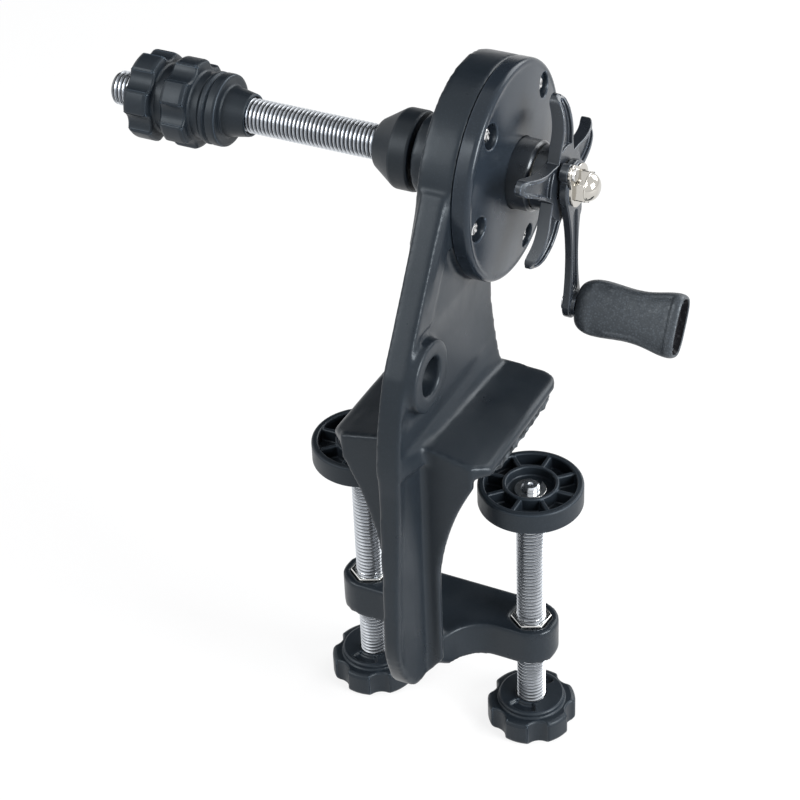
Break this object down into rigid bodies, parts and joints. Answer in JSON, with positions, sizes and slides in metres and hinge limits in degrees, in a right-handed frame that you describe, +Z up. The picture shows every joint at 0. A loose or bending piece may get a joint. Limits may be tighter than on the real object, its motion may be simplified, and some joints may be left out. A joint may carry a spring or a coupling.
{
  "type": "fishing line winder",
  "caption": "Hand-cranked line winder: geared head with threaded spool spindle and clamping cones on a moulded arm with a table clamp.",
  "frame": {"origin": "centre of the jaw seat, the underside of the rubber pad that rests on the table top", "axes": "+X along the head axis towards the crank, +Y from the arm into the clamp throat, +Z up"},
  "size_m": [0.2067, 0.1163, 0.2396],
  "materials": {
    "nylon_frame": "fine moulded grain",
    "nylon_cover": "fine moulded grain",
    "nylon_knobs": "moulded",
    "cone_plastic": "moulded",
    "black_alloy": "satin black",
    "zinc_rod": "bright zinc",
    "nickel_nut": "nickel plated",
    "chrome_nut": "polished",
    "chrome_screw": "polished",
    "steel_pin": "ground",
    "gear_steel": "cut gear, greased",
    "gear_plastic": "natural acetal",
    "bronze": "sintered",
    "pad_rubber": "matte, worn",
    "knob_grip": "fine textured",
    "gloss_cap": "gloss",
    "pad_plastic": "moulded"
  },
  "bodies": {
    "frame": {"arm_frame": "nylon_frame", "gear_cover": "nylon_cover", "cover_screws": "chrome_screw", "ring_gear": "gear_plastic", "spindle_bush": "bronze", "jaw_pad": "pad_rubber", "clamp_nut_left": "nickel_nut", "clamp_nut_right": "nickel_nut"},
    "crank": {"crank_hub": "black_alloy", "planet_pins": "steel_pin", "thrust_washer": "steel_pin", "drag_washer": "steel_pin", "crank_arm": "black_alloy", "crank_nut": "chrome_nut", "nut_retainer": "chrome_nut", "retainer_screw": "chrome_screw", "knob_pin": "steel_pin", "knob_spacer": "black_alloy"},
    "planet_1": {"planet_gear_1": "gear_plastic"},
    "planet_2": {"planet_gear_2": "gear_plastic"},
    "planet_3": {"planet_gear_3": "gear_plastic"},
    "star": {"star_wheel": "black_alloy"},
    "knob": {"knob": "knob_grip", "knob_cap": "gloss_cap"},
    "spindle": {"spindle_rod": "zinc_rod", "sun_gear": "gear_steel", "drive_cone": "cone_plastic"},
    "cone": {"sliding_cone": "cone_plastic"},
    "inner_nut": {"inner_lock_nut": "nylon_knobs"},
    "outer_nut": {"outer_lock_nut": "nylon_knobs"},
    "pad_left": {"clamp_pad_left": "pad_plastic"},
    "pad_right": {"clamp_pad_right": "pad_plastic"},
    "screw_left": {"clamp_rod_left": "zinc_rod", "pad_clip_left": "steel_pin", "clamp_knob_left": "nylon_knobs"},
    "screw_right": {"clamp_rod_right": "zinc_rod", "pad_clip_right": "steel_pin", "clamp_knob_right": "nylon_knobs"}
  },
  "joints": [
    {"name": "crank_turn", "type": "hinge", "parent": "frame", "child": "crank", "pos_m": [0, 0.0335, 0.0815], "axis": [1, 0, 0], "continuous": true},
    {"name": "planet_1_spin", "type": "hinge", "parent": "crank", "child": "planet_1", "pos_m": [0, 0.05, 0.0815], "axis": [1, 0, 0], "continuous": true},
    {"name": "planet_2_spin", "type": "hinge", "parent": "crank", "child": "planet_2", "pos_m": [0, 0.02525, 0.09579], "axis": [1, 0, 0], "continuous": true},
    {"name": "planet_3_spin", "type": "hinge", "parent": "crank", "child": "planet_3", "pos_m": [0, 0.02525, 0.06721], "axis": [1, 0, 0], "continuous": true},
    {"name": "spindle_spin", "type": "hinge", "parent": "frame", "child": "spindle", "pos_m": [0, 0.0335, 0.0815], "axis": [1, 0, 0], "continuous": true},
    {"name": "star_turn", "type": "hinge", "parent": "crank", "child": "star", "pos_m": [0.023, 0.0335, 0.0815], "axis": [1, 0, 0], "range_deg": [-180, 180]},
    {"name": "knob_spin", "type": "hinge", "parent": "crank", "child": "knob", "pos_m": [0.05, 0.0335, 0.0363], "axis": [1, 0, 0], "continuous": true},
    {"name": "cone_slide", "type": "slide", "parent": "spindle", "child": "cone", "axis": [1, 0, 0], "range_m": [-0.01, 0.045]},
    {"name": "inner_nut_turn", "type": "hinge", "parent": "cone", "child": "inner_nut", "pos_m": [-0.106, 0.0335, 0.0815], "axis": [1, 0, 0], "range_deg": [-2401, 10801]},
    {"name": "outer_nut_turn", "type": "hinge", "parent": "cone", "child": "outer_nut", "pos_m": [-0.12, 0.0335, 0.0815], "axis": [1, 0, 0], "range_deg": [-2401, 10801]},
    {"name": "pad_left_slide", "type": "slide", "parent": "frame", "child": "pad_left", "axis": [0, 0, 1], "range_m": [-0.048, 0.013]},
    {"name": "screw_left_turn", "type": "hinge", "parent": "pad_left", "child": "screw_left", "pos_m": [-0.0311, 0, -0.08], "axis": [0, 0, 1], "range_deg": [-11521, 3121]},
    {"name": "pad_right_slide", "type": "slide", "parent": "frame", "child": "pad_right", "axis": [0, 0, 1], "range_m": [-0.048, 0.013]},
    {"name": "screw_right_turn", "type": "hinge", "parent": "pad_right", "child": "screw_right", "pos_m": [0.0311, 0, -0.08], "axis": [0, 0, 1], "range_deg": [-11521, 3121]}
  ],
  "couplings": [
    {"joint": "spindle_spin", "follows": "crank_turn", "ratio": 4},
    {"joint": "planet_1_spin", "follows": "crank_turn", "ratio": -3},
    {"joint": "planet_2_spin", "follows": "crank_turn", "ratio": -3},
    {"joint": "planet_3_spin", "follows": "crank_turn", "ratio": -3},
    {"joint": "inner_nut_turn", "follows": "cone_slide", "rad_per_m": 4188.8},
    {"joint": "outer_nut_turn", "follows": "cone_slide", "rad_per_m": 4188.8},
    {"joint": "screw_left_turn", "follows": "pad_left_slide", "rad_per_m": 4188.8},
    {"joint": "screw_right_turn", "follows": "pad_right_slide", "rad_per_m": 4188.8}
  ]
}
